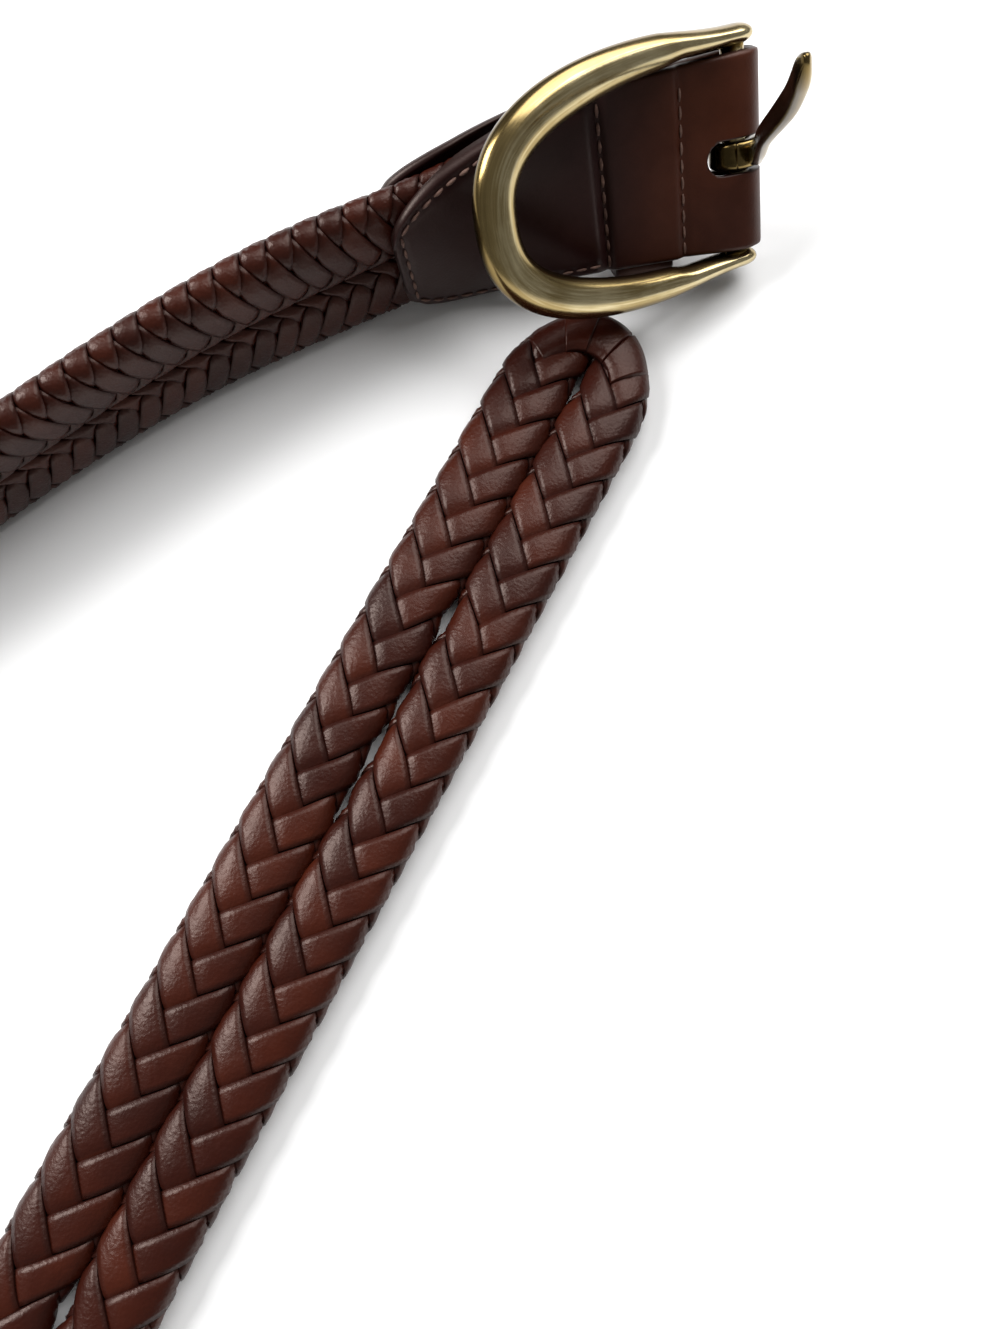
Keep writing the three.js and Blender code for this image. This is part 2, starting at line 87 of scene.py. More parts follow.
def lay_value(column, share):
    """A smooth curve through one column of the lay, at an array of shares."""
    x = np.array(LAY["share"], float)
    y = np.array(LAY[column], float)
    last = len(x) - 1
    before = np.maximum(np.arange(last + 1) - 1, 0)
    after = np.minimum(np.arange(last + 1) + 1, last)
    slope = (y[after] - y[before]) / (x[after] - x[before])
    i = np.clip(np.searchsorted(x, share, side="right") - 1, 0, last - 1)
    span = x[i + 1] - x[i]
    t = (share - x[i]) / span
    rise = (y[i + 1] - y[i]) * (3 - 2 * t) * t * t
    start = slope[i] * span * t * (1 - t) ** 2
    end = slope[i + 1] * span * t * t * (t - 1)
    return y[i] + rise + start + end


def tab_width(distance):
    """The folded tab's width before its rounded end is cut."""
    return mix(CHAPE_WIDTH, CHAPE_FAR_WIDTH, np.clip(distance / (CHAPE_LENGTH - CHAPE_ROUNDING), 0, 1))


def freed(distance):
    """How far the braid has left the tab: 0 pressed inside it, 1 free."""
    return ease(distance, CHAPE_LENGTH - CHAPE_ROUNDING, CHAPE_LENGTH + CHAPE_ROUNDING)


def lay_height(distance):
    """Height of the strap's middle line when its lower edge rests on the floor."""
    share = distance / BELT_LENGTH
    roll = np.radians(lay_value("roll", share))
    width = mix(tab_width(distance), BRAID_WIDTH, freed(distance))
    sideways = np.abs(np.sin(roll)) * width / 2
    upright = np.abs(np.cos(roll)) * BRAID_THICKNESS / 2
    reach = np.outer(sideways, SECTION["across"]) + np.outer(upright, SECTION["up"])
    return reach.max(1) + lay_value("lift", share) * BRAID_WIDTH


# The middle line, walked from the bar in equal steps of its own length.
BAR_CENTRE = np.array(frame["joints"][0]["pos_m"]) / MM
lay_step = BELT_LENGTH / LAY_STEPS
lay_marks = np.arange(LAY_STEPS + 1) * lay_step
lay_heights = lay_height(lay_marks)
lay_headings = np.radians(lay_value("heading", (np.arange(LAY_STEPS) + 0.5) / LAY_STEPS))
lay_level = np.sqrt(lay_step**2 - np.diff(lay_heights) ** 2)
lay_points = np.zeros((LAY_STEPS + 1, 3))
lay_points[1:, 0] = np.cumsum(lay_level * np.cos(lay_headings))
lay_points[1:, 1] = np.cumsum(lay_level * np.sin(lay_headings))
lay_points[:, 2] = lay_heights
lay_points += BAR_CENTRE - lay_points[0]


def unit(vectors):
    """Each vector divided by its own length."""
    return vectors / np.linalg.norm(vectors, axis=-1, keepdims=True)


lay_along = unit(np.gradient(lay_points, axis=0))


def strap_frame(distance):
    """Middle point and directions (along, across, front) of the strap at an array of distances."""
    inside = np.clip(distance, 0, BELT_LENGTH)
    point = np.stack([np.interp(inside, lay_marks, lay_points[:, k]) for k in range(3)], -1)
    along = unit(np.stack([np.interp(inside, lay_marks, lay_along[:, k]) for k in range(3)], -1))
    point = point + along * (distance - inside)[..., None]
    level = unit(np.stack([-along[..., 1], along[..., 0], np.zeros_like(inside)], -1))
    above = np.cross(along, level)
    roll = np.radians(lay_value("roll", inside / BELT_LENGTH))[..., None]
    across = level * np.cos(roll) + above * np.sin(roll)
    return point, along, across, np.cross(along, across)


def on_strap(distance, across, front):
    """From strap coordinates (along, across, out of the front face) to the belt's own frame."""
    distance, across, front = np.broadcast_arrays(distance, across, front)
    point, _, across_way, front_way = strap_frame(distance)
    return point + across_way * across[..., None] + front_way * front[..., None]


def skin(rings, first=0):
    """Faces of a tube through rows of equal rings of points, capped at both ends."""
    rows, count = rings.shape[:2]
    index = np.arange(rows * count).reshape(rows, count) + first
    a = index[:-1]
    b = index[1:]
    quads = np.stack([a, np.roll(a, -1, 1), np.roll(b, -1, 1), b], -1).reshape(-1, 4)
    return quads.tolist() + [index[0][::-1].tolist(), index[-1].tolist()]


def make_piece(name, points, faces, material, **attributes):
    """A smooth mesh piece from points in millimetres, with numbers kept on its points."""
    mesh = bpy.data.meshes.new(name)
    mesh.from_pydata((points.reshape(-1, 3) * MM).tolist(), [], faces)
    for key, values in attributes.items():
        layer = mesh.attributes.new(key, "FLOAT", "POINT")
        layer.data.foreach_set("value", np.ascontiguousarray(values, dtype=np.float32).ravel())
    mesh.polygons.foreach_set("use_smooth", np.ones(len(mesh.polygons), bool))
    mesh.materials.append(material)
    mesh.validate()
    piece = bpy.data.objects.new(name, mesh)
    bpy.context.scene.collection.objects.link(piece)
    return piece


def new_material(name):
    """An empty node material: its nodes, a function that links sockets, and its shader."""
    material = bpy.data.materials.new(name)
    material.use_nodes = True
    nodes = material.node_tree.nodes
    shader = nodes["Principled BSDF"]
    return material, nodes, material.node_tree.links.new, shader


def noise(nodes, link, place, scale, detail=4.0):
    """A noise pattern on some coordinates, with scale in waves a unit of them."""
    node = nodes.new("ShaderNodeTexNoise")
    node.inputs["Scale"].default_value = scale
    node.inputs["Detail"].default_value = detail
    node.inputs["Roughness"].default_value = 0.55
    link(place, node.inputs["Vector"])
    return node.outputs["Fac"]


def ramp(nodes, link, value, stops):
    """Colours by value. stops: position and colour, low to high."""
    node = nodes.new("ShaderNodeValToRGB")
    elements = node.color_ramp.elements
    while len(elements) < len(stops):
        elements.new(0.5)
    for element, (position, colour) in zip(elements, stops):
        element.position = position
        element.color = (*colour, 1)
    link(value, node.inputs["Fac"])
    return node.outputs["Color"]


def arithmetic(nodes, link, operation, first, second):
    """One Math node on two sockets or numbers."""
    node = nodes.new("ShaderNodeMath")
    node.operation = operation
    for socket, value in zip(node.inputs, (first, second)):
        if isinstance(value, (int, float)):
            socket.default_value = value
        else:
            link(value, socket)
    return node.outputs[0]


def weighted_sum(nodes, link, first, first_weight, second, second_weight):
    """The first socket times its weight, plus the second times its own."""
    return arithmetic(nodes, link, "ADD",
                      arithmetic(nodes, link, "MULTIPLY", first, first_weight),
                      arithmetic(nodes, link, "MULTIPLY", second, second_weight))


def vary_roughness(nodes, link, shader, pattern, least, spread):
    """Roughness of a finish: its least value, plus a pattern times its spread."""
    uneven = arithmetic(nodes, link, "MULTIPLY", pattern, spread)
    link(arithmetic(nodes, link, "ADD", uneven, least), shader.inputs["Roughness"])


def blend_colours(nodes, link, share, first, second):
    """Two colours mixed by a socket: the first where it is 0, the second where it is 1."""
    node = nodes.new("ShaderNodeMix")
    node.data_type = "RGBA"
    for key, value in (("Factor", share), ("A", first), ("B", second)):
        socket = next(s for s in node.inputs if s.name == key and s.enabled)
        if isinstance(value, tuple):
            socket.default_value = (*value, 1)
        else:
            link(value, socket)
    return next(s for s in node.outputs if s.enabled)


def own_value(nodes, name):
    """A number kept on the piece's points."""
    node = nodes.new("ShaderNodeAttribute")
    node.attribute_name = name
    return node.outputs["Fac"]


def add_bump(nodes, link, shader, height, strength, depth):
    """Relief of a height pattern, depth in metres."""
    node = nodes.new("ShaderNodeBump")
    node.inputs["Strength"].default_value = strength
    node.inputs["Distance"].default_value = depth
    link(height, node.inputs["Height"])
    link(node.outputs["Normal"], shader.inputs["Normal"])


def pebbled_grain(nodes, link, place, scale):
    """Fine grain of leather: rounded pebbles between creases, over softer unevenness."""
    cells = nodes.new("ShaderNodeTexVoronoi")
    cells.feature = "SMOOTH_F1"
    cells.inputs["Scale"].default_value = scale
    link(place, cells.inputs["Vector"])
    fine = noise(nodes, link, place, scale * 1.7)
    broad = noise(nodes, link, place, scale * 0.12)
    pebbles = arithmetic(nodes, link, "SUBTRACT", 1.0, cells.outputs["Distance"])
    grain = weighted_sum(nodes, link, pebbles, 0.6, fine, 0.5)
    return weighted_sum(nodes, link, grain, 1.0, broad, 0.8)


def lace_leather():
    """Glazed brown leather, redder and more worn on some laces, dark at their cut edges, and painted
    darker where a lace sinks under others.
    """
    material, nodes, link, shader = new_material("lace_leather")
    place = nodes.new("ShaderNodeTexCoord").outputs["Object"]
    tone = own_value(nodes, "lace_tone")
    patches = noise(nodes, link, place, 70)
    shade = weighted_sum(nodes, link, tone, 0.3, patches, 0.7)
    colour = ramp(nodes, link, shade, [
        (0.15, (0.013, 0.0022, 0.0016)),
        (0.45, (0.028, 0.0046, 0.0022)),
        (0.70, (0.048, 0.0084, 0.0034)),
        (0.95, (0.078, 0.0170, 0.0066)),
    ])
    edge = own_value(nodes, "lace_edge")
    colour = blend_colours(nodes, link, edge, colour, (0.018, 0.006, 0.005))
    # Painted shade: darker where a lace sinks under the laces that cross it.
    depth = own_value(nodes, "lace_depth")
    colour = blend_colours(nodes, link, depth, colour, (0.008, 0.003, 0.003))
    link(colour, shader.inputs["Base Color"])
    vary_roughness(nodes, link, shader, noise(nodes, link, place, 260), 0.24, 0.22)
    shader.inputs["Specular IOR Level"].default_value = 0.3
    shader.inputs["Specular Tint"].default_value = (1.0, 0.82, 0.74, 1)
    add_bump(nodes, link, shader, pebbled_grain(nodes, link, place, 1500), 0.45, 0.00022)
    return material


# Sizes of a plait. Its laces lie on a flattened ring, one layer out and one layer in.
PLAIT_HALF_WIDTH = 6.75
PLAIT_HALF_THICKNESS = 2.62
PLAIT_CENTRE = 7.45  # from the strap's middle line
PLAIT_SQUARENESS = 0.8  # 1 for an ellipse, less for flatter faces
LACES_EACH_WAY = 4
LACE_THICKNESS = 1.25
LACE_LAYER = 0.66  # how far a lace rises or sinks from the ring
LACE_COVER = 0.985
SAMPLES_A_TURN = 23
PITCH = {  # length of one tile along the strap
    "share": [0, 0.08, 0.2, 0.35, 0.5, 0.62, 1],
    "length": [5.2, 5.2, 4.8, 6.2, 8.2, 9.2, 9.2],
}
# Towards the buckle the plaits are twisted in opposite ways, so that on the back one long
# column of tiles fills each of them down to the groove. Shares of the way round.
TWIST = {
    "even": [0, 0.25, 0.5, 0.75, 1],
    "twisted": [-0.09, 0.25, 0.52, 0.6, 0.91],
}
TWIST_END = 330.0
TWIST_FADE = 150.0  # length over which the twist runs out
# Places where the two plaits gape, as distance along the strap and gap in millimetres.
GAPES = ((984, 2.0), (930, 2.6), (913, 1.8), (902, 2.4), (891, 1.8), (797, 2.6))
GAPE_LENGTH = 4.5  # from a gape's middle to where about a third of it is left
TIP_BLUNTNESS = 0.3  # less for a tip that keeps its height nearer to its end
# Closed outline of a lace: across, as a share of its half width, and up, of its thickness.
LACE_OUTLINE = {
    "across": [-1.0, -0.96, -0.6, 0.0, 0.6, 0.96, 1.0, 0.0],
    "up": [-0.15, 0.38, 0.5, 0.53, 0.5, 0.38, -0.15, -0.5],
    "edge": [1.0, 0.45, 0.0, 0.0, 0.0, 0.45, 1.0, 1.0],
}
BRAID_START = 46.0  # hidden inside the tab
CROSSING_STEEPNESS = 3.0  # of a lace's change from over to under


def running_total(steps):
    """Places after each of an array of steps: 0, then the sum of the steps so far."""
    return np.concatenate([[0], np.cumsum(steps)])


def smoothed(values, count):
    """Means of each value and its neighbours, an odd count of them in all, with weights
    along one wave of a cosine: most in the middle and none at both ends."""
    window = np.hanning(count) / np.hanning(count).sum()
    return np.convolve(np.pad(values, count // 2, mode="edge"), window, mode="valid")


def boxy(value, power):
    """A cosine or sine with its size raised to a power: 1 keeps a circle round, and less
    draws it towards a square."""
    return np.sign(value) * np.abs(value) ** power


pitch_marks = np.linspace(BRAID_START, BELT_LENGTH, 2000)
pitch_here = np.interp(pitch_marks / BELT_LENGTH, PITCH["share"], PITCH["length"])
turn_rate = 1 / (LACES_EACH_WAY * pitch_here)
turns_made = running_total((turn_rate[1:] + turn_rate[:-1]) / 2 * np.diff(pitch_marks))

# Even steps round a plait's section, from angles by way of its length.
ring_angles = np.linspace(0, 2 * np.pi, 721)
ring_x = (PLAIT_HALF_WIDTH + LACE_LAYER) * boxy(np.cos(ring_angles), PLAIT_SQUARENESS)
ring_y = (PLAIT_HALF_THICKNESS + LACE_LAYER) * boxy(np.sin(ring_angles), PLAIT_SQUARENESS)
ring_length = running_total(np.hypot(np.diff(ring_x), np.diff(ring_y)))
ring_share = ring_length / ring_length[-1]


def twisted(side, turn):
    """Where a share of the way round really lies where the plait is twisted: a table of
    five places, repeated every turn and smoothed, and mirrored for the lower plait."""
    fine = np.linspace(-1, 2, 1501)
    table = np.interp(fine % 1, TWIST["even"], TWIST["twisted"]) + np.floor(fine)
    table = fine + smoothed(table - fine, 61)
    mirrored = turn if side > 0 else 0.5 - turn
    whole = np.floor(mirrored)
    placed = np.interp(mirrored - whole, fine, table) + whole
    return placed if side > 0 else 0.5 - placed


def plait_point(side, turn, rise, distance):
    """A point of a plait's section. turn: share of the way round from its +across edge,
    over the front. rise: millimetres out from the ring of laces."""
    twist = 1 - ease(distance, TWIST_END, TWIST_END + TWIST_FADE)
    turn = mix(turn, twisted(side, turn), twist) % 1
    angle = np.interp(turn, ring_share, ring_angles)
    across = PLAIT_HALF_WIDTH * boxy(np.cos(angle), PLAIT_SQUARENESS)
    front = PLAIT_HALF_THICKNESS * boxy(np.sin(angle), PLAIT_SQUARENESS)
    way_x = np.cos(angle) / PLAIT_HALF_WIDTH
    way_y = np.sin(angle) / PLAIT_HALF_THICKNESS
    length = np.hypot(way_x, way_y)
    return across + rise * way_x / length, front + rise * way_y / length


def settle(side, distance, across, front):
    """Presses the braid inside the tab, parts it in places along the groove, and rounds
    and lowers it at the tip."""
    free = freed(distance)
    gape = sum(width / 2 * np.exp(-((distance - at) / GAPE_LENGTH) ** 2) for at, width in GAPES)
    inward = 1 - np.clip(np.abs(across) / BRAID_WIDTH * 2, 0, 1)
    across = across + side * gape * inward
    across = across * mix(BRAID_PRESSED_WIDTH / BRAID_WIDTH, 1, free)
    front = front * mix(BRAID_PRESSED_THICKNESS / BRAID_THICKNESS, 1, free)
    in_tip = np.clip((BELT_LENGTH - distance) / TIP_ROUNDING, 0, 1)
    narrow = np.sqrt(1 - (1 - in_tip) ** 2)
    low = (1 - (1 - in_tip) ** 2) ** TIP_BLUNTNESS
    floor = -BRAID_THICKNESS / 2
    return across * narrow, floor + (front - floor) * low


def lace(side, way, number, offset):
    """One lace of a plait. Lattice: first = turn - turns made, second = turn + turns made;
    a lace keeps one of them and runs along the other, so its long edges lie along the
    laces that it crosses. It is over while a wave of both numbers is positive."""
    total = turns_made[-1]
    count = int(2 * total * SAMPLES_A_TURN)
    kept = number / LACES_EACH_WAY + (0 if way > 0 else 0.5 / LACES_EACH_WAY)
    run = way * np.linspace(0, 2 * total, count)[:, None]
    spread = np.array(LACE_OUTLINE["across"]) * LACE_COVER * 0.5 / LACES_EACH_WAY
    turn = kept + (run + spread) / 2
    made = np.clip(way * (run - spread) / 2, 0, total)
    wave = -way * np.sin(2 * np.pi * (2 * kept + run))
    over = np.tanh(CROSSING_STEEPNESS * wave) / np.tanh(CROSSING_STEEPNESS)
    up = np.array(LACE_OUTLINE["up"]) * LACE_THICKNESS
    rise = over * LACE_LAYER + up
    distance = np.interp(made + offset, turns_made, pitch_marks)
    across, front = plait_point(side, turn, rise, distance)
    across = across + side * PLAIT_CENTRE
    across, front = settle(side, distance, across, front)
    tiles = np.floor(2 * (2 * kept + run)).astype(int) + np.zeros(len(spread), int)
    edge = np.array(LACE_OUTLINE["edge"]) + np.zeros_like(run)
    # Painted shade mask: how far the lace has sunk under the laces that cross it.
    sunk_shade = np.clip(-over, 0, 1) + np.zeros(len(spread))
    return on_strap(distance, across, front), tiles, edge, sunk_shade


def plait(name, side, offset, material):
    """All the laces of one plait, as one piece."""
    draws = np.random.default_rng(11 + side)
    points, faces, tones, edges, sunk_shades = [], [], [], [], []
    first = 0
    for way in (1, -1):
        for number in range(LACES_EACH_WAY):
            rings, tiles, edge, sunk_shade = lace(side, way, number, offset)
            tone_table = draws.random(tiles.max() - tiles.min() + 1)
            tone = tone_table[tiles - tiles.min()]
            faces += skin(rings, first)
            first += rings.shape[0] * rings.shape[1]
            points.append(rings.reshape(-1, 3))
            tones.append(tone.ravel())
            edges.append(edge.ravel())
            sunk_shades.append(sunk_shade.ravel())
    return make_piece(name, np.concatenate(points), faces, material,
                      lace_tone=np.concatenate(tones), lace_edge=np.concatenate(edges),
                      lace_depth=np.concatenate(sunk_shades))


lace_finish = lace_leather()
for plait_name, plait_side, plait_offset in (("plait_upper", 1, 0.0), ("plait_lower", -1, 0.075)):
    piece = plait(plait_name, plait_side, plait_offset, lace_finish)
    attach(piece, "strap")
    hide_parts("braid")

# Tip caps: the last lace of each plait is bent round the belt's end, and both are tucked
# under their neighbours. The upper plait's one lies over the other beside the middle.
TIP_CENTRE = BELT_LENGTH - TIP_ROUNDING
CAP_DIP = 1.9
CAP_DIP_START = 0.82  # share of the way from a cap's middle to its ends
# From the middle of the tip's rounding to its edge (1), and the height there.
CAP_OUTLINE = {
    "reach": [0.60, 0.74, 0.84, 0.92, 0.99, 1.01, 0.98, 0.90, 0.78, 0.62, 0.53, 0.50],
    "front": [2.6, 2.8, 2.2, 1.0, -2.6, -2.0, 1.4, 3.0, 3.7, 3.9, 3.5, 2.6],
}


def tip_cap(name, first_turn, last_turn, lift, tone):
    """A lace round the tip's end from one angle off its middle line to another, as a tube
    of rings; its ends dip below the laces beside it."""
    share = np.linspace(0, 1, 41)[:, None]
    turn = np.radians(mix(first_turn, last_turn, share))
    dip = CAP_DIP * np.maximum(np.abs(2 * share - 1) - CAP_DIP_START, 0) / (1 - CAP_DIP_START)
    reach = np.array(CAP_OUTLINE["reach"]) + 0 * turn
    front = np.array(CAP_OUTLINE["front"]) + lift - dip
    distance = TIP_CENTRE + TIP_ROUNDING * reach * np.cos(turn)
    across = BRAID_WIDTH / 2 * reach * np.sin(turn)
    rings = on_strap(distance, across, front)
    rim = np.isin(np.arange(len(CAP_OUTLINE["reach"])), [4, 5, 11])
    return make_piece(name, rings, skin(rings), lace_finish, lace_tone=tone + 0 * front,
                      lace_edge=rim * 0.8 + 0 * front, lace_depth=0 * front)


for cap_name, cap_first, cap_last, cap_lift, cap_tone in (
    ("tip_cap_upper_outer", 68, 34, 0.0, 0.3),
    ("tip_cap_upper_inner", 40, 7, 0.35, 0.6),
    ("tip_cap_lower_inner", 14, -22, 0.0, 0.5),
    ("tip_cap_lower_outer", -18, -54, 0.3, 0.35),
):
    cap = tip_cap(cap_name, cap_first, cap_last, cap_lift, cap_tone)
    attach(cap, "strap")

# Chape: one strip of smooth leather folded round the buckle's bar. Its two plies are sewn
# together beside the bar, again past the keeper, and round their rounded end over the
# braid, and a slot through the fold lets the tongue out.
CLEARANCE = 0.3
LEATHER_THICKNESS = 2.2
CHAPE_END_WIDTH = 13.0
BAR_RADIUS = 2.2
NEAR_STITCH = 11.5
FAR_STITCH = 27.0
PLY_GAP = 0.8
PLY_PARTING = 3.0
SLOT_WIDTH = 6.2
SLOT_REACH = 6.7
KEEPER_WIDTH = 12.0
KEEPER_WALL = 1.8
KEEPER_CENTRE = (NEAR_STITCH + FAR_STITCH) / 2
FOLD_MIDDLE = BAR_RADIUS + CLEARANCE + LEATHER_THICKNESS / 2
KEEPER_MIDDLE = KEEPER_WALL / 2 + CLEARANCE + LEATHER_THICKNESS / 2
SEWN_MIDDLE = PLY_GAP / 2 + LEATHER_THICKNESS / 2
BRAID_MIDDLE = BRAID_PRESSED_THICKNESS / 2 + CLEARANCE + LEATHER_THICKNESS / 2
EDGE_ROUND = 0.8
STITCH_SPACING = 3.0
STITCH_INSET = 2.0  # from the tab's edge
ROW_GROOVE_WIDTH = 0.9  # from the groove's middle to where about a third of it is left
EDGE_GROOVE_WIDTH = 0.8
GROOVE_DEPTH = 0.28
TAB_END_THINNEST = 0.3  # share of the leather's thickness left at its cut end
BRAID_DOME_SQUARENESS = 5  # more for a ply that stays flat nearer to its edges


def tab_leather():
    """Smooth dark leather, redder and lighter where the fold and the keeper have rubbed it: partly real
    wear, partly painted sheen where that band faces the light.
    """
    material, nodes, link, shader = new_material("tab_leather")
    place = nodes.new("ShaderNodeTexCoord").outputs["Object"]
    patches = noise(nodes, link, place, 45)
    dark = ramp(nodes, link, patches, [
        (0.30, (0.0090, 0.0020, 0.0024)),
        (0.70, (0.0190, 0.0044, 0.0044)),
    ])
    # Lighter, redder colour of the rubbed band: partly wear, partly painted sheen.
    worn = ramp(nodes, link, patches, [
        (0.30, (0.024, 0.0045, 0.0020)),
        (0.72, (0.066, 0.0150, 0.0055)),
    ])
    colour = blend_colours(nodes, link, own_value(nodes, "wear"), dark, worn)
    colour = blend_colours(nodes, link, own_value(nodes, "cut_edge"), colour, (0.012, 0.005, 0.004))
    link(colour, shader.inputs["Base Color"])
    vary_roughness(nodes, link, shader, noise(nodes, link, place, 180), 0.30, 0.25)
    shader.inputs["Specular IOR Level"].default_value = 0.35
    shader.inputs["Specular Tint"].default_value = (1.0, 0.8, 0.72, 1)
    add_bump(nodes, link, shader, pebbled_grain(nodes, link, place, 2100), 0.3, 0.00012)
    return material


def ply_height(distance, across):
    """Distance of a ply's middle from the strap's middle plane: smooth steps from the fold
    to the near stitches, over the keeper, and up over the braid, where it is also domed."""
    by_bar = mix(FOLD_MIDDLE, SEWN_MIDDLE, ease(distance, 0, NEAR_STITCH))
    from_keeper = np.abs(distance - KEEPER_CENTRE) - KEEPER_WIDTH / 2
    by_keeper = mix(KEEPER_MIDDLE, SEWN_MIDDLE, ease(from_keeper, 0, LEATHER_THICKNESS))
    dome = np.sqrt(1 - np.minimum(np.abs(2 * across / tab_width(distance)), 1) ** BRAID_DOME_SQUARENESS)
    parted = ease(distance, FAR_STITCH, FAR_STITCH + PLY_PARTING)
    full = BRAID_MIDDLE + freed(distance) * (BRAID_THICKNESS - BRAID_PRESSED_THICKNESS) / 2
    over_braid = mix(SEWN_MIDDLE, full, parted * dome)
    return np.where(distance < NEAR_STITCH, by_bar, np.where(distance < FAR_STITCH, by_keeper, over_braid))


def chape_half_width(distance):
    """Half the tab's width. Its end narrows along a quarter of an ellipse to a short
    straight cut."""
    past = np.clip((distance - (CHAPE_LENGTH - CHAPE_ROUNDING)) / CHAPE_ROUNDING, 0, 1)
    return mix(CHAPE_END_WIDTH, tab_width(distance), np.sqrt(1 - past**2)) / 2


def chape_rings():
    """The folded strip in strap coordinates, as rings round its thickness: out along the
    front ply, round the bar, and back along the other ply."""
    straight = np.linspace(0, CHAPE_LENGTH - CHAPE_ROUNDING, 105)[1:]
    turned = np.radians(np.linspace(0, 90, 34)[1:])
    rounded_end = CHAPE_LENGTH - CHAPE_ROUNDING + CHAPE_ROUNDING * np.sin(turned)
    ply = np.concatenate([straight, rounded_end])
    fold = np.linspace(0, np.pi, 33)
    distance = np.concatenate([ply[::-1], np.zeros(len(fold)), ply])[:, None]
    turn = np.concatenate([np.zeros(len(ply)), fold, np.full(len(ply), np.pi)])[:, None]
    lean = np.linspace(-1, 1, 49)
    shares = np.sin(lean * np.pi / 2) * 0.35 + lean * 0.65
    across_share = np.concatenate([shares, shares[-2:0:-1]])
    outside = np.concatenate([np.ones(len(shares)), -np.ones(len(shares) - 2)])
    half = chape_half_width(distance)
    across = across_share * half
    side_left = np.clip((half - np.abs(across)) / EDGE_ROUND, 0, 1)
    end_left = np.clip((CHAPE_LENGTH - distance) / EDGE_ROUND, 0, 1)
    thin = np.sqrt(1 - (1 - side_left) ** 2)
    thin = thin * np.maximum(np.sqrt(1 - (1 - end_left) ** 2), TAB_END_THINNEST)
    near_row = np.exp(-((distance - NEAR_STITCH) / ROW_GROOVE_WIDTH) ** 2)
    far_row = np.exp(-((distance - FAR_STITCH) / ROW_GROOVE_WIDTH) ** 2)
    inset = half - np.abs(across)
    edge_row = np.exp(-((inset - STITCH_INSET) / EDGE_GROOVE_WIDTH) ** 2) * (distance > FAR_STITCH)
    end_row = np.exp(-((CHAPE_LENGTH - distance - STITCH_INSET) / EDGE_GROOVE_WIDTH) ** 2)
    dent = GROOVE_DEPTH * np.clip(near_row + far_row + edge_row + end_row, 0, 1)
    offset = outside * LEATHER_THICKNESS / 2 * thin - np.where(outside > 0, dent, 0)
    radius = ply_height(distance, across) + offset
    along = distance - radius * np.sin(turn)
    front = radius * np.cos(turn)
    across = across + 0 * along
    # Mask of the rubbed band from the fold past the keeper: partly wear, partly painted sheen.
    wear = np.maximum(1 - ease(distance, NEAR_STITCH, FAR_STITCH + 2), 0) + 0 * across
    bare = 1 - thin + 0 * across
    return np.stack([along, across, front], -1), wear, bare


def slot_cutter():
    """A long prism with round ends, through the fold and both plies, in strap coordinates."""
    half = SLOT_WIDTH / 2
    start = -FOLD_MIDDLE - LEATHER_THICKNESS - half
    turns = np.radians(np.linspace(-90, 90, 17))
    far_x = SLOT_REACH - half + half * np.cos(turns)
    far_y = half * np.sin(turns)
    outline = np.stack([np.concatenate([[start], far_x, [start]]),
                        np.concatenate([[-half], far_y, [half]])], -1)
    depth = FOLD_MIDDLE + LEATHER_THICKNESS
    low = np.column_stack([outline, np.full(len(outline), -depth)])
    high = np.column_stack([outline, np.full(len(outline), depth)])
    return np.stack([low, high])


def cut_slot(piece):
    """Takes the tongue's slot out of the flat-lying tab."""
    prism = slot_cutter()
    cutter = make_piece("slot_cutter", prism, skin(prism), piece.data.materials[0])
    cut = piece.modifiers.new("slot", "BOOLEAN")
    cut.operation = "DIFFERENCE"
    cut.solver = "EXACT"
    cut.object = cutter
    bpy.context.view_layer.update()
    evaluated = piece.evaluated_get(bpy.context.evaluated_depsgraph_get())
    mesh = bpy.data.meshes.new_from_object(evaluated)
    piece.modifiers.clear()
    piece.data = mesh
    bpy.data.objects.remove(cutter)


def lay_on_strap(piece):
    """Moves a mesh from strap coordinates to where it lies."""
    mesh = piece.data
    flat = np.empty(len(mesh.vertices) * 3, np.float32)
    mesh.vertices.foreach_get("co", flat)
    flat = flat.reshape(-1, 3).astype(float) / MM
    placed = on_strap(flat[:, 0], flat[:, 1], flat[:, 2]) * MM
    mesh.vertices.foreach_set("co", placed.astype(np.float32).ravel())
    mesh.update()


tab_finish = tab_leather()
tab_rings, tab_wear, tab_bare = chape_rings()
tab = make_piece("leather_tab", tab_rings, skin(tab_rings), tab_finish, wear=tab_wear, cut_edge=tab_bare)
cut_slot(tab)
lay_on_strap(tab)
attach(tab, "strap")
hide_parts("chape")

# Stitches: waxed thread, sunk in a shallow groove on both faces of the tab. Two rows run
# across it beside the keeper, and one follows its edge round the end.
THREAD_RADIUS = 0.33
STITCH_LENGTH = 2.2
STITCH_SEGMENTS = 6
STITCH_SINK = 0.25  # how far below the leather's face its ends lie
STITCH_ARCH = 0.18  # how far its middle rises above them


def thread():
    """Dull waxed thread, lighter than the leather."""
    material, nodes, link, shader = new_material("thread")
    place = nodes.new("ShaderNodeTexCoord").outputs["Object"]
    colour = ramp(nodes, link, noise(nodes, link, place, 900), [
        (0.3, (0.06, 0.025, 0.018)),
        (0.7, (0.20, 0.11, 0.08)),
    ])
    link(colour, shader.inputs["Base Color"])
    shader.inputs["Roughness"].default_value = 0.7
    add_bump(nodes, link, shader, noise(nodes, link, place, 2500), 0.5, 0.0002)
    return material


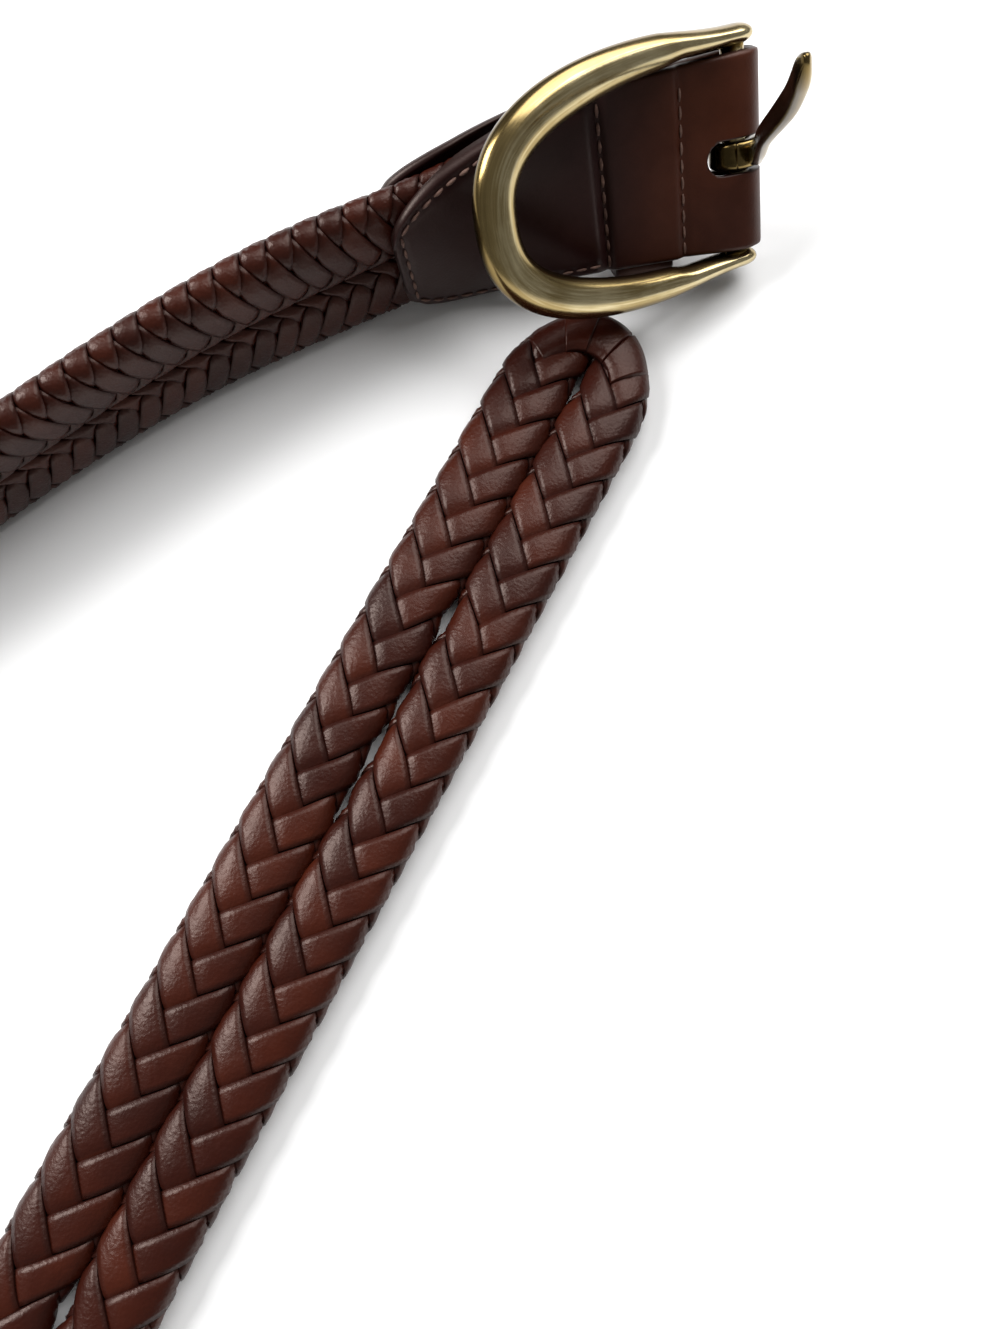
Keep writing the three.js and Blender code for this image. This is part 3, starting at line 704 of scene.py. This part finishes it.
def stitch_row_ends():
    """Both ends of every stitch, as distance along and across the strap."""
    ends = []
    for row in (NEAR_STITCH, FAR_STITCH):
        half = tab_width(row) / 2 - STITCH_INSET
        middles = np.arange(-half, half + 0.01, STITCH_SPACING)
        ends += [((row, m - STITCH_LENGTH / 2), (row, m + STITCH_LENGTH / 2)) for m in middles]
    distance = np.linspace(FAR_STITCH + 1, CHAPE_LENGTH - STITCH_INSET, 400)
    half = chape_half_width(distance) - STITCH_INSET
    end_across = np.linspace(half[-1], -half[-1], 60)[1:-1]
    route = np.concatenate([
        np.column_stack([distance, half]),
        np.column_stack([np.full(58, distance[-1]), end_across]),
        np.column_stack([distance[::-1], -half[::-1]]),
    ])
    walked = running_total(np.linalg.norm(np.diff(route, axis=0), axis=1))
    starts = np.arange(STITCH_SPACING / 2, walked[-1] - STITCH_LENGTH, STITCH_SPACING)

    def place(at):
        """The point of the route that lies a distance along it."""
        return np.interp(at, walked, route[:, 0]), np.interp(at, walked, route[:, 1])

    ends += [(place(s), place(s + STITCH_LENGTH)) for s in starts]
    return np.array(ends)


def stitches():
    """Each stitch is a short rounded rod that dips into the leather at both ends."""
    ends = stitch_row_ends()
    share = np.linspace(0, 1, STITCH_SEGMENTS + 1)
    body = np.sin(np.pi * np.clip(share, 0.06, 0.94)) ** 0.5
    turns = np.linspace(0, 2 * np.pi, 8, endpoint=False)
    points, faces = [], []
    first = 0
    for face in (1, -1):
        for start, end in ends:
            line = start + (end - start) * share[:, None]
            way = unit(end - start)
            sideways = np.array([-way[1], way[0]])
            wide = THREAD_RADIUS * body[:, None] * np.cos(turns)
            tall = THREAD_RADIUS * body[:, None] * np.sin(turns)
            flat = line[:, None, :] + wide[..., None] * sideways
            top = ply_height(flat[..., 0], flat[..., 1]) + LEATHER_THICKNESS / 2 - STITCH_SINK
            out = face * (top + tall + STITCH_ARCH * body[:, None])
            rings = on_strap(flat[..., 0], flat[..., 1], out)
            if face < 0:
                rings = rings[:, ::-1]
            points.append(rings.reshape(-1, 3))
            faces += skin(rings, first)
            first += rings.shape[0] * rings.shape[1]
    return make_piece("tab_stitches", np.concatenate(points), faces, thread())


stitching = stitches()
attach(stitching, "strap")

# Keeper: a leather loop for the belt's tip. Its flat run is sewn in between the plies and
# its arch stands over the front face.
KEEPER_ROOM = 8.5
KEEPER_ARCH_POWER = 0.8  # 1 for an ellipse, less for a flatter arch
KEEPER_SIDE_POWER = 0.3  # the same for its band's section, across and through it
KEEPER_FACE_POWER = 0.5


def keeper_rings():
    """A flat band bent into a closed loop, as rings round its thickness."""
    ply_top = KEEPER_MIDDLE + LEATHER_THICKNESS / 2
    half = CHAPE_WIDTH / 2 + CLEARANCE + KEEPER_WALL / 2
    turn = np.linspace(np.pi, 0, 81)
    crown = ply_top + KEEPER_ROOM + KEEPER_WALL / 2
    arch_height = mix(ply_top / 2, crown, np.sin(turn) ** KEEPER_ARCH_POWER)
    arch = np.stack([half * np.cos(turn), arch_height], -1)
    run = np.stack([np.linspace(half, -half, 60), np.zeros(60)], -1)
    route = np.concatenate([arch, run])
    closed = np.concatenate([route, route[:1]])
    walked = running_total(np.linalg.norm(np.diff(closed, axis=0), axis=1))
    at = np.linspace(0, walked[-1], 220, endpoint=False)
    line = np.stack([np.interp(at, walked, closed[:, k]) for k in range(2)], -1)
    for _ in range(3):
        line = (np.roll(line, 1, 0) + line + np.roll(line, -1, 0)) / 3
    way = unit(np.roll(line, -1, 0) - np.roll(line, 1, 0))
    outward = np.stack([-way[:, 1], way[:, 0]], -1)
    corner = np.linspace(0, 2 * np.pi, 20, endpoint=False)
    reach = KEEPER_WIDTH / 2 * boxy(np.cos(corner), KEEPER_SIDE_POWER)
    rise = -KEEPER_WALL / 2 * boxy(np.sin(corner), KEEPER_FACE_POWER)
    across = line[:, :1] + outward[:, :1] * rise
    front = line[:, 1:] + outward[:, 1:] * rise
    bare = np.abs(np.cos(corner)) ** 3 + 0 * across
    return on_strap(KEEPER_CENTRE + reach + 0 * across, across, front), bare


def closed_skin(rings):
    """Faces of a tube whose last ring joins its first."""
    rows, count = rings.shape[:2]
    index = np.arange(rows * count).reshape(rows, count)
    after = np.roll(index, -1, 0)
    quads = np.stack([index, np.roll(index, -1, 1), np.roll(after, -1, 1), after], -1)
    return quads.reshape(-1, 4).tolist()


loop_rings, loop_bare = keeper_rings()
# The keeper takes most of the rubbed colour: partly wear, partly painted sheen.
keeper_loop = make_piece("keeper_loop", loop_rings, closed_skin(loop_rings), tab_finish,
                         wear=np.full(loop_bare.shape, 0.7), cut_edge=loop_bare)
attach(keeper_loop, "strap")
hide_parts("keeper")

# Buckle frame: a solid brass horseshoe, polished once and since gone dull in the hollows.
# Its arms end at the bar, which the folded tab hides, and it swings on that bar.
FRAME_LENGTH = 54.0
SIDE_PLAY = 0.4
FRAME_ROUND_START = 17.0
RIM_WIDTH = 6.4
RIM_THICKNESS = 6.2
RIM_WIDTH_AT_BAR = 3.6
RIM_THICKNESS_AT_BAR = 6.8
FRAME_SWING = 19.0
ARM_SHARE = 0.26
RIM_REACH_IN = 2.2  # how far the rim reaches into the opening round the crossbar
RIM_REACH_FROM = 0.18  # share of the rim's length where that begins
RIM_REACH_FULL = 0.36
RIM_WIDENING = 0.8  # share of that reach by which the rim is wider
STREAK_LENGTH = 60.0  # millimetres along the metal in one unit of its streaks
STREAK_TURN = 5.0  # units of its streaks from a section's back to its front
OPENING_HALF = CHAPE_WIDTH / 2 + SIDE_PLAY


def aged_brass():
    """Brass polished by wear on its crown, with faint streaks along it, and gone dark olive
    on its sides."""
    material, nodes, link, shader = new_material("aged_brass")
    place = nodes.new("ShaderNodeTexCoord").outputs["Object"]
    streaks = nodes.new("ShaderNodeCombineXYZ")
    link(own_value(nodes, "run_along"), streaks.inputs["X"])
    link(own_value(nodes, "run_round"), streaks.inputs["Y"])
    lines = noise(nodes, link, streaks.outputs["Vector"], 6.0, 6.0)
    patina = noise(nodes, link, place, 140)
    worn = weighted_sum(nodes, link, lines, 0.6, patina, 0.4)
    polish = weighted_sum(nodes, link, own_value(nodes, "crown"), 0.75, worn, 0.4)
    colour = ramp(nodes, link, polish, [
        (0.50, (0.075, 0.052, 0.019)),
        (0.70, (0.22, 0.155, 0.060)),
        (0.86, (0.38, 0.285, 0.125)),
        (0.97, (0.72, 0.62, 0.38)),
    ])
    link(colour, shader.inputs["Base Color"])
    shader.inputs["Metallic"].default_value = 1.0
    vary_roughness(nodes, link, shader, worn, 0.11, 0.2)
    add_bump(nodes, link, shader, patina, 0.08, 0.0002)
    return material


def rim_fullness(share):
    """The squared sine of half a turn: 0 at the arms' ends, 1 at the crossbar's middle."""
    return np.sin(np.pi * share) ** 2


def rim_inward(share):
    """How far the rim also reaches into the opening, clear of the tab beside the bar."""
    from_end = np.minimum(share, 1 - share)
    return RIM_REACH_IN * ease(from_end, RIM_REACH_FROM, RIM_REACH_FULL)


def rim_place(share):
    """Middle of the rim, from one arm's end round the crossbar to the other's, as x along
    the bar and y towards the crossbar."""
    half = OPENING_HALF + mix(RIM_WIDTH_AT_BAR, RIM_WIDTH, rim_fullness(share)) / 2
    half = half - rim_inward(share) / 2
    side = np.where(share < 0.5, 1, -1)
    from_end = np.minimum(share, 1 - share)
    turn = np.pi / 2 * np.clip((from_end - ARM_SHARE) / (0.5 - ARM_SHARE), 0, 1)
    x = side * half * np.clip(np.cos(turn), 0, 1) ** 0.8
    on_arm = FRAME_ROUND_START * from_end / ARM_SHARE
    round_y = mix(FRAME_ROUND_START, FRAME_LENGTH, np.sin(turn) ** 0.92)
    return np.stack([x, np.where(from_end < ARM_SHARE, on_arm, round_y)], -1)


def hinge_place(points, degrees):
    """From local coordinates (x along the bar, y out from it, z out of the show face) to
    the belt's frame, with y turned up from the strap by some degrees."""
    _, along, across, front = strap_frame(np.array([0.0]))
    swing = np.radians(degrees)
    reach = along[0] * np.cos(swing) - front[0] * np.sin(swing)
    outward = np.cross(across[0], reach)
    return BAR_CENTRE + points @ np.stack([across[0], reach, outward])


def frame_parts():
    """The rim as rings along its middle with domed ends, and the bar between them."""
    share = np.linspace(0, 1, 261)
    middle = rim_place(share)
    smooth = middle.copy()
    for _ in range(6):
        smooth[1:-1] = (smooth[:-2] + smooth[1:-1] + smooth[2:]) / 3
    along = unit(np.gradient(smooth, axis=0))
    outward = np.stack([along[:, 1], -along[:, 0]], -1)
    turn = np.linspace(0, -2 * np.pi, 36, endpoint=False)
    width = mix(RIM_WIDTH_AT_BAR, RIM_WIDTH, rim_fullness(share))
    width = width + rim_inward(share) * RIM_WIDENING
    wide = width[:, None] / 2 * np.cos(turn)
    thick = mix(RIM_THICKNESS_AT_BAR, RIM_THICKNESS, rim_fullness(share))[:, None] / 2 * np.sin(turn)
    rim = np.concatenate([smooth[:, None] + wide[..., None] * outward[:, None], thick[..., None]], -1)

    def dome(ring):
        """Smaller and smaller copies of an end's ring, further and further behind the bar."""
        centre = ring.mean(0)
        angles = np.radians([20, 42, 62, 78, 88])
        shrink = np.cos(angles)[:, None, None] ** 0.4
        rings = centre + (ring - centre) * shrink
        rings[..., 1] -= RIM_THICKNESS_AT_BAR * 0.48 * np.sin(angles)[:, None]
        return rings

    rim = np.concatenate([dome(rim[0])[::-1], rim, dome(rim[-1])])
    ends = np.array([-1.0, 1.0]) * (OPENING_HALF + RIM_WIDTH_AT_BAR / 2)
    bar = np.stack([ends[:, None] + 0 * turn,
                    BAR_RADIUS * np.cos(turn) + 0 * ends[:, None],
                    -BAR_RADIUS * np.sin(turn) + 0 * ends[:, None]], -1)
    return rim, bar[:, ::-1]


def metal_piece(name, parts, degrees, material):
    """Several closed tubes as one piece, with lengthwise and round numbers for streaks."""
    points, faces, lengthwise, round_it, crowns = [], [], [], [], []
    first = 0
    for rings in parts:
        rows, count = rings.shape[:2]
        faces += skin(rings, first)
        first += rows * count
        points.append(hinge_place(rings.reshape(-1, 3), degrees))
        step = np.linalg.norm(np.diff(rings.mean(1), axis=0), axis=1)
        walked = running_total(step) / STREAK_LENGTH
        lengthwise.append((walked[:, None] + np.zeros(count)).ravel())
        circle = np.abs(np.linspace(-1, 1, count)) * STREAK_TURN
        round_it.append((circle + np.zeros((rows, 1))).ravel())
        rise = rings[..., 2] - rings[..., 2].mean(1, keepdims=True)
        crowns.append((0.5 + 0.5 * rise / np.abs(rise).max()).ravel())
    return make_piece(name, np.concatenate(points), faces, material,
                      run_along=np.concatenate(lengthwise), run_round=np.concatenate(round_it),
                      crown=np.concatenate(crowns))


brass = aged_brass()
rim_rings, bar_rings = frame_parts()
buckle = metal_piece("horseshoe_frame", [rim_rings, bar_rings], FRAME_SWING, brass)
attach(buckle, "frame")
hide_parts("buckle_frame")

# Tongue: a brass strip rolled into an eye round the bar, with a wavy shank that would
# reach over the crossbar. It stands open, and leans along the bar on its loose eye.
TONGUE_REACH = 57.0
TONGUE_WIDTH = 4.2
TONGUE_THICKNESS = 2.6
EYE_RADIUS = 5.0
EYE_WIDTH = 4.8
TONGUE_SWING = 54.0
TONGUE_LEAN = 14.0
TONGUE_BEND = 7.0  # how far its worn shank is also bent sideways at the tip
TONGUE_BEND_START = 14.0
TONGUE_WAIST = 0.24  # share of its width that it loses where it is slimmest
STRIP_POWER = 0.6  # 1 for a round section, less for a flatter strip
EYE_EDGE_POWER = 0.45
TONGUE_WAVE = {
    "share": [0.02, 0.2, 0.45, 0.75, 0.93, 1.0],
    "climb": [0, -0.45, -1.0, 1.08, 1.15, 0.9],
}


def tongue_parts():
    """The eye, a ring of flat strip, and the shank, rings of a rounded strip along a wave."""
    turn = np.linspace(0, 2 * np.pi, 28, endpoint=False)
    wall = EYE_RADIUS - BAR_RADIUS - CLEARANCE
    middle = EYE_RADIUS - wall / 2
    around = np.linspace(0, 2 * np.pi, 65)[:, None]
    radius = middle + wall / 2 * boxy(np.sin(turn), STRIP_POWER)
    eye = np.stack([EYE_WIDTH / 2 * boxy(np.cos(turn), EYE_EDGE_POWER) + 0 * around,
                    radius * np.cos(around), radius * np.sin(around)], -1)
    over_eye = EYE_RADIUS - TONGUE_THICKNESS / 2 - 0.1
    over_crossbar = RIM_THICKNESS / 2 + CLEARANCE + TONGUE_THICKNESS / 2
    share = np.linspace(0, 1, 90)
    wave_share = np.array(TONGUE_WAVE["share"])
    coarse = np.interp(np.linspace(0, 1, 400), wave_share, TONGUE_WAVE["climb"])
    climb = np.interp(share, np.linspace(0, 1, 400), smoothed(coarse, 91))
    y = mix(wave_share[0], 1, share) * TONGUE_REACH
    z = mix(over_eye, over_crossbar, climb)
    slope = np.gradient(z, y)
    blunt = np.sqrt(1 - np.clip((share - 0.9) / 0.1, 0, 1) ** 2 * 0.96)[:, None]
    waist = 1 - TONGUE_WAIST * np.sin(np.pi * np.minimum(share / 0.7, 1))[:, None]
    wide = TONGUE_WIDTH / 2 * waist * blunt * boxy(np.cos(turn), STRIP_POWER)
    tall = TONGUE_THICKNESS / 2 * blunt * boxy(np.sin(turn), STRIP_POWER)
    norm = np.hypot(slope, 1)[:, None]
    lean = np.tan(np.radians(TONGUE_LEAN))
    shank_y = y[:, None] - tall * slope[:, None] / norm
    bent = np.clip((shank_y - TONGUE_BEND_START) / (TONGUE_REACH - TONGUE_BEND_START), 0, 1)
    bend = TONGUE_BEND * bent ** 1.4
    shank_x = wide + lean * np.maximum(shank_y - EYE_RADIUS, 0) + bend
    shank = np.stack([shank_x, shank_y, z[:, None] + tall / norm], -1)
    return eye, shank[:, ::-1]


eye_rings, shank_rings = tongue_parts()
pin = metal_piece("buckle_tongue", [eye_rings, shank_rings], FRAME_SWING + TONGUE_SWING, brass)
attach(pin, "tongue")
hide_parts("tongue")

# Floor: a plain pale surface that the belt lies on, lit by two broad soft lamps and a
# little light from all round. It is not part of the belt.
floor_mesh = bpy.data.meshes.new("floor")
floor_mesh.from_pydata([(-3, -3, 0), (3, -3, 0), (3, 3, 0), (-3, 3, 0)], [], [(0, 1, 2, 3)])
floor = bpy.data.objects.new("floor", floor_mesh)
bpy.context.scene.collection.objects.link(floor)
floor_finish, floor_nodes, floor_link, floor_shader = new_material("pale_floor")
floor_shader.inputs["Base Color"].default_value = (0.93, 0.93, 0.93, 1)
floor_shader.inputs["Roughness"].default_value = 0.9
floor_mesh.materials.append(floor_finish)

world = bpy.data.worlds.new("room")
world.use_nodes = True
world.node_tree.nodes["Background"].inputs["Color"].default_value = (1.0, 0.99, 0.97, 1)
world.node_tree.nodes["Background"].inputs["Strength"].default_value = 0.2
bpy.context.scene.world = world


def lamp(name, place, target, size, power):
    """A square soft lamp aimed at a point."""
    light = bpy.data.lights.new(name, "AREA")
    light.size = size
    light.energy = power
    item = bpy.data.objects.new(name, light)
    item.location = place
    away = unit(np.array(place) - np.array(target))
    tilt = np.arccos(away[2])
    heading = np.arctan2(away[1], away[0]) + np.pi / 2
    item.rotation_euler = (tilt, 0, heading)
    bpy.context.scene.collection.objects.link(item)


lamp("window", (-0.75, 0.35, 0.75), (0, 0, 0), 0.6, 18)
lamp("ceiling", (0.45, 0.75, 0.9), (0.05, 0.05, 0), 1.0, 15)

# Camera: held low over the inside of the loop, looking down and tilted a little towards
# the buckle.
CAMERA_FROM_BAR = np.array([-45.1, -134.7, 0.0])
CAMERA_HEIGHT = 188.0
CAMERA_TILT = 11.4
eye_camera = bpy.data.cameras.new("camera")
eye_camera.sensor_fit = "HORIZONTAL"
eye_camera.sensor_width = 36.0
eye_camera.lens = 36.0
eye_camera.clip_start = 0.01
viewer = bpy.data.objects.new("camera", eye_camera)
viewer.location = ((BAR_CENTRE * [1, 1, 0] + CAMERA_FROM_BAR) + [0, 0, CAMERA_HEIGHT]) * MM
viewer.rotation_euler = (np.radians(CAMERA_TILT), 0, 0)
bpy.context.scene.collection.objects.link(viewer)
bpy.context.scene.camera = viewer
bpy.context.scene.view_settings.view_transform = "Standard"
